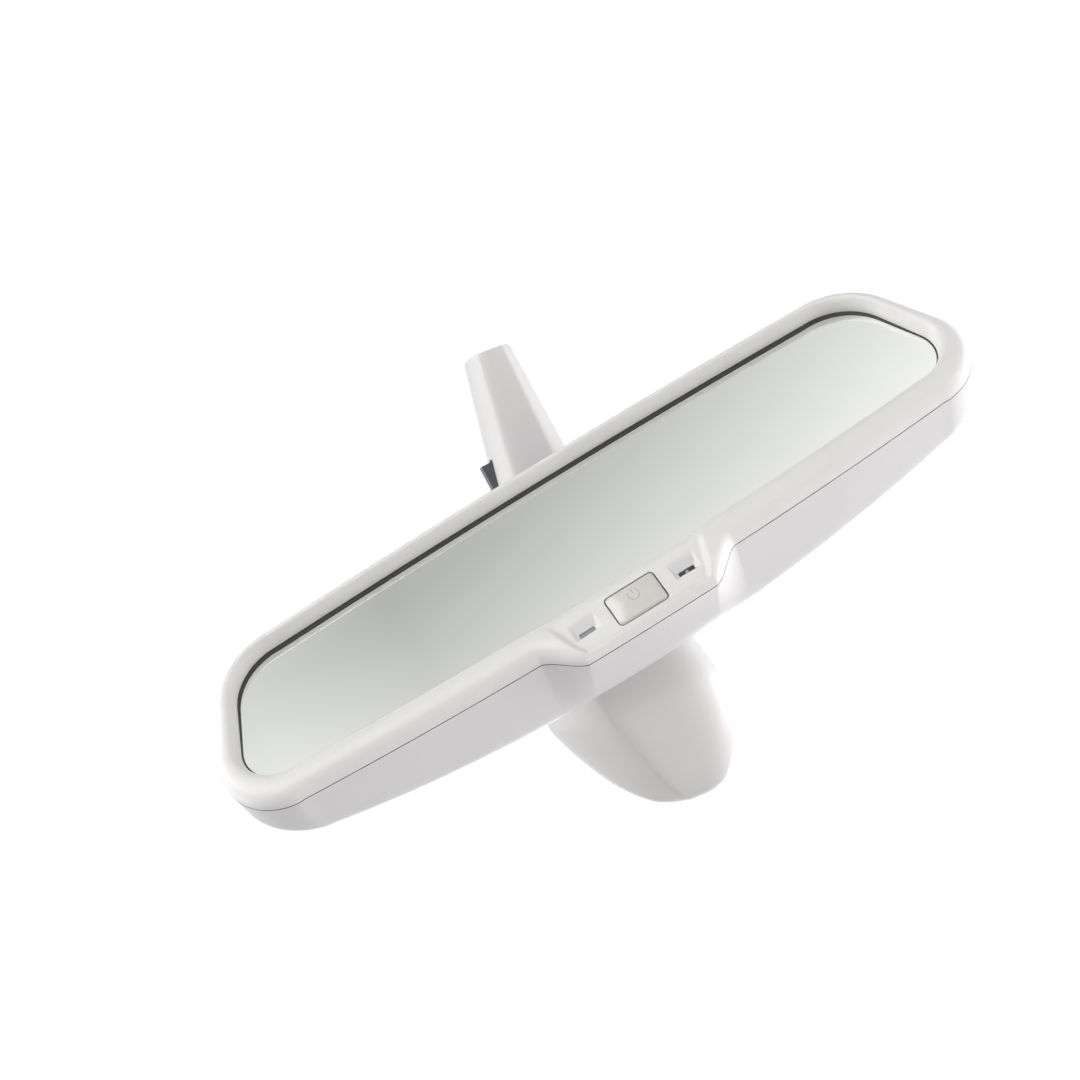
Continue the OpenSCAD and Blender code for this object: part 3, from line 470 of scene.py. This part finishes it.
# %% Gasket
gasket_form = [(0, -0.28), (0, -0.03), (0.94, -0.03), (1, -0.08), (1.01, -0.15), (0.98, -0.22),
               (0.92, -0.27)]
outside, wide, narrow = opening(1), opening(-1.5), opening(-0.35)
top_share = (ramp(wide[:, 1], 4, 20) * (0.35 + 0.65 * ramp(-np.abs(wide[:, 0]), -112, -84)))[:, None]
inside = narrow + (wide - narrow) * top_share
gasket_rings = [ring_at(outside + (inside - outside) * share, y) for share, y in gasket_form]
gasket = mesh_object("edge_gasket", *loft(gasket_rings, closed_loft=True), housing, [rubber])
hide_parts("glass_gasket")
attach(gasket, "head")

# %% [markdown]
# The rear shell is a deep tray with crowned back. Each section is the housing's outline drawn in a
# little further, and the chin fades out with depth. The shell is shallower at its ends, and its
# middle is open for the arm.

# %% Rear shell
SHELL_DEPTH, SHELL_Y = 38, 0.2
NECK_R, NECK_SWING = 4.2, 0.54
PIPE_X, PIPE_Z, PIPE_HOLE_R = 34, -6, 2.7
HOLE_R = NECK_R + (SHELL_DEPTH - BALL_DEPTH) * NECK_SWING
HOLE_AT = np.array([ball.x, ball.z]) / ball.y * (SHELL_DEPTH - BALL_DEPTH)


def shell_inset(t):
    return 1.6 * t + (13.5 * (1 - math.sqrt(1 - ((t - 0.5) / 0.5) ** 2)) if t > 0.5 else 0)


def bowed(points, t, depth):
    y = SHELL_Y + t * depth * (1 - 0.5 * (2 * np.abs(points[:, 0]) / HEAD_LEN) ** 2.3)
    return np.stack([points[:, 0], y, points[:, 1]], 1)


def shell_ring(t, inset, depth):
    return bowed(outer(shell_inset(t) + inset, CHIN_DROP * max(0, 1 - t / 0.8) ** 1.3), t, depth)


def back_ring(share, depth):
    last = outer(shell_inset(1), 0)
    away = last - HOLE_AT
    hole = away / np.linalg.norm(away, axis=1)[:, None] * HOLE_R + HOLE_AT
    return bowed(last + (hole - last) * share, 1, depth)


steps = list(np.linspace(0, 0.5, 14)) + list(0.5 + 0.5 * np.sin(np.linspace(0, math.pi / 2, 19))[1:])
shell_rings = [shell_ring(t, 0, SHELL_DEPTH) for t in steps]
shell_rings += [back_ring(k / 8, SHELL_DEPTH + 0.4 * min(1, k / 2)) for k in range(1, 9)]
shell_rings += [back_ring(1, SHELL_DEPTH - WALL)]
shell_rings += [shell_ring(t, WALL, SHELL_DEPTH - WALL) for t in steps[::-3]]
shell_rings += [shell_ring(0, WALL, SHELL_DEPTH - WALL)]
shell = mesh_object("rear_housing", *loft(shell_rings, closed_loft=True), housing, [abs_shell])
# The shell's mating face in the seam gets the painted shade.
line_seam(shell, len(shell_rings) - 1, len(edge))
cut(shell, *prism(circle(PIPE_HOLE_R, 39) + [PIPE_X, PIPE_Z], 22, 45), housing)
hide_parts("rear_shell")
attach(shell, "head")

# %% [markdown]
# The power button is a small crowned cap with soft edges. Rings of a rounded rectangle shrink
# towards its middle while the surface rises, and the printed symbol is a fine arc and bar that
# follow the crown.

# %% Power button
CROWN_EDGE, CROWN_RISE = -0.26, 0.5
SYMBOL_R, SYMBOL_Z, LINE_R, SYMBOL_SUNK, SYMBOL_OPEN = 1.62, 1.28, 0.15, 0.1, 38


def crown(x, z):
    return CROWN_EDGE - CROWN_RISE * (1 - (x / (BUTTON_W / 2)) ** 4) * (1 - 0.6 * (z / (BUTTON_H / 2)) ** 2)


button_rings = []
for inset, y in ((0, 3.4), (0, 1.2), (0, 0.3), (0.04, 0.1), (0.12, -0.06), (0.26, -0.18),
                 *((inset, None) for inset in np.linspace(0.45, 4.5, 14))):
    flat = rounded_rect(BUTTON_W / 2 - inset, BUTTON_H / 2 - inset, max(0.12, 1.2 - inset * 0.6), 8, 14)
    button_rings.append(ring_at(flat, crown(flat[:, 0], flat[:, 1]) if y is None else y))
cap = mesh_object("button_cap", *loft(button_rings, caps=True), chin, [pearl])
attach(cap, "button")


def wire(name, path, radius, matrix, material, sides=10):
    path = [Vector(p) for p in path]
    rings = []
    for k, p in enumerate(path):
        along = (path[min(k + 1, len(path) - 1)] - path[max(k - 1, 0)]).normalized()
        across = along.cross(Vector((0, 1, 0))).normalized()
        rings.append([p + radius * (math.cos(a) * across + math.sin(a) * Vector((0, 1, 0)))
                      for a in np.linspace(0, 2 * math.pi, sides, endpoint=False)])
    return mesh_object(name, *loft(rings, caps=True), matrix, [material])


def on_crown(x, z):
    return (x, crown(x, z) + SYMBOL_SUNK, z)


angles = np.radians(np.linspace(90 + SYMBOL_OPEN, 450 - SYMBOL_OPEN, 40))
arc = [on_crown(SYMBOL_R * math.cos(a), SYMBOL_Z + SYMBOL_R * math.sin(a)) for a in angles]
bar = [on_crown(0, z) for z in np.linspace(SYMBOL_Z + 0.3, SYMBOL_Z + 1.95, 8)]
for name, path in (("symbol_arc", arc), ("symbol_bar", bar)):
    mark = wire(name, path, LINE_R, chin, symbol_print)
    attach(mark, "button")

# %% [markdown]
# The windows in the chin are small lenses. The indicator's lens is a flat grey diffuser. The light
# sensor sits in the dark behind the other slot, under a clear domed lens a millimetre wide.

# %% Window lenses
LENS_FRONT, FLANGE_FRONT, FLANGE_BACK, GUIDE_R, GUIDE_GAP = 2.0, 2.8, 3.5, 0.9, 0.3
FOAM_Y, FOAM_T, STAND_OFF = 3.7, 0.9, 2.4
BOARD_Y = FOAM_Y + FOAM_T + WALL + STAND_OFF


def dome(name, radius, height, centre, matrix, material):
    rings = [ring_at(circle(radius * math.cos(b), 24) + [centre[0], centre[2]],
                     centre[1] - height * math.sin(b))
             for b in np.linspace(0, math.pi / 2 * 0.97, 8)]
    return mesh_object(name, *loft(rings, caps=True), matrix, [material])


def window_lens(name, node, side, room, material):
    """A bar that fills the slot, its flange, and a round guide that leaves room at the board."""
    middle = SLOT_TOP - SLOT_H / 2
    bar = rounded_rect(SLOT_W / 2 - 0.1, SLOT_H / 2 - 0.1, 0.2, 6) + [side * WINDOW_X, middle]
    flange = rounded_rect(SLOT_W / 2 + 0.7, SLOT_H / 2 + 0.5, 0.3, 6) + [side * WINDOW_X, middle]
    turn = np.linspace(0, 2 * math.pi, len(bar), endpoint=False) + math.pi / 4
    guide = GUIDE_R * np.stack([np.cos(turn), np.sin(turn)], 1) + [side * WINDOW_X, middle]
    back = (BOARD_Y - room - PANEL_Y) / math.cos(PANEL_TILT) - GUIDE_GAP
    rings = [ring_at(bar, LENS_FRONT), ring_at(bar, FLANGE_FRONT), ring_at(flange, FLANGE_FRONT),
             ring_at(flange, FLANGE_BACK), ring_at(guide, FLANGE_BACK + 0.1), ring_at(guide, back)]
    lens = mesh_object(name, *loft(rings, caps=True), chin, [material])
    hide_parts(node)
    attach(lens, "head")


window_lens("indicator_window", "indicator_lens", -1, 1.1, grey_pc)
window_lens("glare_window", "glare_lens", 1, 3, smoked_pc)
dome_at = (WINDOW_X, LENS_FRONT - 0.02, SLOT_TOP - SLOT_H / 2)
sensor_dome = dome("sensor_dome", 0.55, 0.5, dome_at, chin, clear_pc)
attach(sensor_dome, "head")

# %% [markdown]
# Both covers on the windshield are thin shells. A sheet is lofted through the cross sections and
# then given its wall by a Solidify modifier, the way a moulding has one wall everywhere. The lower
# cover bulges over the rain sensor and has a wide bevel on its left. The upper cover is slim,
# because only a cable runs below it.

# %% Covers
COVER_W, COVER_H, COVER_DROP, COVER_LEAN, SPLIT_Y = 54.6, 34, 43.6, 0.2, 9
STEM_LEN, STEM_SIDE = 107, 9.6 * 0.76
SPLIT_GAP, GLASS_GAP, CURVE_N, ARM_HOLE_R, COVER_SHARP = 0.15, 0.4, 90, 7, 50


def cover(name, form, arch, lean, material):
    form = smooth_curve(form, CURVE_N)
    rings = []
    for y, w, h in form:
        section = smooth_curve(arch(w, max(h, 0.5)), CURVE_N)
        x, z = section[:, 0] + lean * (SPLIT_Y - y), GLASS_GAP + section[:, 1]
        rings.append(np.stack([x, np.full(CURVE_N, y), z], 1))
    piece = mesh_object(name, *loft(rings, closed_ring=False), mount, [material], sharp=COVER_SHARP)
    middle = sum((v.co for v in piece.data.vertices), Vector()) / len(piece.data.vertices)
    off_glass = (mount.to_3x3() @ Vector((0, 0, 1))).normalized()
    top = max(piece.data.polygons, key=lambda f: (f.center - middle).dot(off_glass))
    if top.normal.dot(off_glass) < 0:
        piece.data.flip_normals()
    wall = piece.modifiers.new("wall", "SOLIDIFY")
    wall.thickness, wall.offset = WALL * MM, -1
    bpy.context.view_layer.update()
    result = bpy.data.meshes.new_from_object(piece.evaluated_get(bpy.context.evaluated_depsgraph_get()))
    piece.modifiers.clear()
    piece.data = result
    result.shade_smooth()
    result.set_sharp_from_angle(angle=math.radians(COVER_SHARP))
    return piece


def lower_arch(w, h):
    left = [[-w, 0], [-w, h * 0.15], [-w, h * 0.3], [-w * 0.97, h * 0.42], [-w * 0.86, h * 0.6],
            [-w * 0.66, h * 0.82], [-w * 0.52, h * 0.95], [-w * 0.42, h * 0.99]]
    right = [[w * 0.45, h * 0.99], [w * 0.7, h * 0.94], [w * 0.84, h * 0.85], [w * 0.93, h * 0.71],
             [w * 0.98, h * 0.55], [w, h * 0.35], [w, h * 0.17], [w, 0]]
    return left + [[0, h]] + right


def upper_arch(w, h):
    face = 0.66
    left = [[-w, 0], [-w, h * 0.17], [-w, h * 0.35], [-w * 0.97, h * 0.55], [-w * 0.9, h * 0.72],
            [-w * 0.78, h * 0.86], [-w * face, h * 0.96], [-w * face * 0.6, h]]
    right = [[w * 0.36, h], [w * 0.5, h * 0.985], [w * 0.7, h * 0.9], [w * 0.86, h * 0.76],
             [w * 0.96, h * 0.56], [w, h * 0.35], [w, h * 0.17], [w, 0]]
    return left + [[0, h * 1.01]] + right


lower_shares = ((-1, 0.03, 0.2), (-0.998, 0.12, 0.34), (-0.99, 0.21, 0.46), (-0.965, 0.32, 0.58),
                (-0.92, 0.44, 0.69), (-0.81, 0.6, 0.82), (-0.68, 0.725, 0.91), (-0.49, 0.85, 0.97),
                (-0.31, 0.94, 1), (-0.15, 0.975, 0.98), (0, 0.9, 0.8))
lower_form = [(f * COVER_DROP if f < 0 else SPLIT_Y - SPLIT_GAP, w * COVER_W / 2, h * COVER_H - GLASS_GAP)
              for f, w, h in lower_shares]
lower = cover("sensor_cover", lower_form, lower_arch, COVER_LEAN, shaded_abs_cover)
upper_form = [(SPLIT_Y + SPLIT_GAP, COVER_W * 0.38, COVER_H * 0.78), (22, COVER_W * 0.33, 26),
              (38, COVER_W * 0.28, 25), (54, COVER_W * 0.245, 23.6), (69, COVER_W * 0.22, 22),
              (STEM_LEN - 17, STEM_SIDE * 1.28, 20.4), (STEM_LEN - 3, STEM_SIDE * 1.03, 19),
              (STEM_LEN, STEM_SIDE * 0.98, 18.4)]
upper_form = [(y, w, h - GLASS_GAP) for y, w, h in upper_form]
upper = cover("cable_cover", upper_form, upper_arch, 0, shaded_abs_cover)
along = -ball.normalized()
arm_hole = Matrix.Translation(ball) @ along.to_track_quat("Y", "Z").to_matrix().to_4x4() @ Matrix.Scale(MM, 4)
latch_slot = [(-16, 63.2), (-16, 75.9), (-9, 75.9), (-9, 62)]
for piece, node in ((lower, "lower_cover"), (upper, "upper_cover")):
    cut(piece, *prism(circle(ARM_HOLE_R, 64), 10, 66), arm_hole, sharp=COVER_SHARP)
    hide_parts(node)
    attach(piece, "mount")
slot_rings = [[(x, y, z) for x, y in latch_slot] for z in (3.7, 10.3)]
cut(upper, *loft(slot_rings, caps=True), mount, sharp=COVER_SHARP)

# %% [markdown]
# The measured nodes that keep their own mesh get their finishes here. A node's mesh isn't
# touched: only its material changes.

# %% Finishes on the measured nodes
finishes = {
    silvered: ["front_glass"], rear_silver: ["rear_glass"], rubber: ["edge_seal"], foam: ["foam_pad"],
    spring_steel: ["bus_clips", "retaining_spring", "sensor_clip"],
    nylon_inner: ["carrier_plate", "ball_socket"], board_mask: ["circuit_board"],
    screw_steel: ["board_screws", "socket_screws", "arm_screws"],
    epoxy: ["board_chips", "tact_switch", "glare_sensor", "ambient_sensor", "rain_sensor"],
    nylon_plug: ["board_connector", "harness_connector"], clear_pc: ["status_led", "ambient_light_pipe"],
    grey_pc: ["indicator_lens"], smoked_pc: ["glare_lens"], zinc: ["ball_arm", "socket_ring"],
    acetal: ["pressure_cup", "socket_liner"], nylon_base: ["mount_base"], gel: ["sensor_gel_pad"],
    cable_pvc: ["mount_harness"], pearl: ["power_button"]}
for material, names in finishes.items():
    for name in names:
        mesh = frame["nodes"][name].data
        mesh.materials.clear()
        mesh.materials.append(material)
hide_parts("power_button")
print(sum(len(v) for v in finishes.values()), "measured nodes keep their mesh")

# %% [markdown]
# The stage is plain: one matt floor, far enough below the mirror to stay out of the main view. The
# soft boxes light it unevenly, so in the other views it shows as a soft grey gradient.

# %% Floor
FLOOR_Z, FLOOR_R = -0.75, 3.0
floor_rings = [np.insert(circle(r, 48), 2, FLOOR_Z, axis=1) for r in (0.01, 0.5, 1.5, FLOOR_R)]
pale = surface("matt paint", "#F2F1EF", "#F6F5F3", 0.8, grain=2, height=0.01, drift=400)
floor = mesh_object("floor", *loft(floor_rings, caps=False), Matrix.Identity(4), [pale])

# %% [markdown]
# The surroundings look white to the camera, but they give much less light than that, so that the
# shapes keep their shading. Polished faces see a wall in their place. It fades between pale greys
# across and upwards, and that is what the mirror shows.

# %% Surroundings
ROOM_LOW, ROOM_HIGH = 0.1, 0.14
WALL_DARK, WALL_LIGHT, GLOW_HIGH, GLOW_LEFT = 0.555, 0.77, 0.345, 0.26
world = bpy.data.worlds.new("studio")
world.use_nodes = True
bpy.context.scene.world = world
sky = world.node_tree
sky.nodes.clear()
look = add(sky, "ShaderNodeTexCoord")
split = add(sky, "ShaderNodeSeparateXYZ", (), {0: (look, "Generated")})


def fade(axis, start, end, low, high):
    return add(sky, "ShaderNodeMapRange", {"From Min": start, "From Max": end, "To Min": low, "To Max": high},
               {"Value": (split, axis)})


room_light = fade("Z", -0.2, 0.5, ROOM_LOW, ROOM_HIGH)
room = add(sky, "ShaderNodeBackground", {"Color": linear("#FCFCFF")}, {"Strength": (room_light, 0)})
wall_light = fade("X", 0.04, 0.31, WALL_DARK, WALL_LIGHT)
for glow in (fade("Z", 0.6, 0.655, GLOW_HIGH, 0), fade("X", -0.03, 0.045, GLOW_LEFT, 0)):
    wall_light = add(sky, "ShaderNodeMath", {"operation": "ADD"}, {0: (wall_light, 0), 1: (glow, 0)})
wall = add(sky, "ShaderNodeBackground", {"Color": linear("#FDFFFE")}, {"Strength": (wall_light, 0)})
white = add(sky, "ShaderNodeBackground", {"Color": (1, 1, 1, 1), "Strength": 1.0})
rays = add(sky, "ShaderNodeLightPath")
seen = add(sky, "ShaderNodeMixShader", (), {0: (rays, "Is Glossy Ray"), 1: (room, 0), 2: (wall, 0)})
both = add(sky, "ShaderNodeMixShader", (), {0: (rays, "Is Camera Ray"), 1: (seen, 0), 2: (white, 0)})
add(sky, "ShaderNodeOutputWorld", (), {"Surface": (both, 0)})
bpy.context.scene.view_settings.view_transform = "Standard"
print("room strength", ROOM_LOW, "to", ROOM_HIGH, "and wall", WALL_DARK, "to", WALL_LIGHT)

# %% [markdown]
# Eight round soft boxes stand about the mirror and are aimed at its middle. The wide ones give the
# mouldings long, soft highlights. A small one stands close by on the left.

# %% Soft boxes
HEAD_MIDDLE = Vector((0, -0.03, -0.03))


def soft_box(name, place, power, size=0.8):
    data = bpy.data.lights.new(name, "AREA")
    data.shape, data.size, data.energy = "DISK", size, power
    light = bpy.data.objects.new(name, data)
    light.location = place
    light.rotation_euler = (HEAD_MIDDLE - Vector(place)).to_track_quat("-Z", "Y").to_euler()
    bpy.context.scene.collection.objects.link(light)
    print(name, power, "W")


soft_box("left_box", (-1.3, 0.3, 0.2), 3.7)
soft_box("left_high_box", (-1.0, 0, 0.9), 2.8)
soft_box("front_left_box", (-1.0, -0.9, 0.7), 4.5)
soft_box("near_left_box", (-0.6, -0.5, 0.35), 1.9, size=0.4)
soft_box("front_box", (-0.3, -1.5, 0.35), 7.0)
soft_box("right_box", (1.2, 0.2, -0.2), 11.4)
soft_box("right_low_box", (0.9, -0.6, -0.5), 3.5)
soft_box("back_box", (0.3, 1.4, 0.7), 9.0)

# %% Update the scene
bpy.context.view_layer.update()
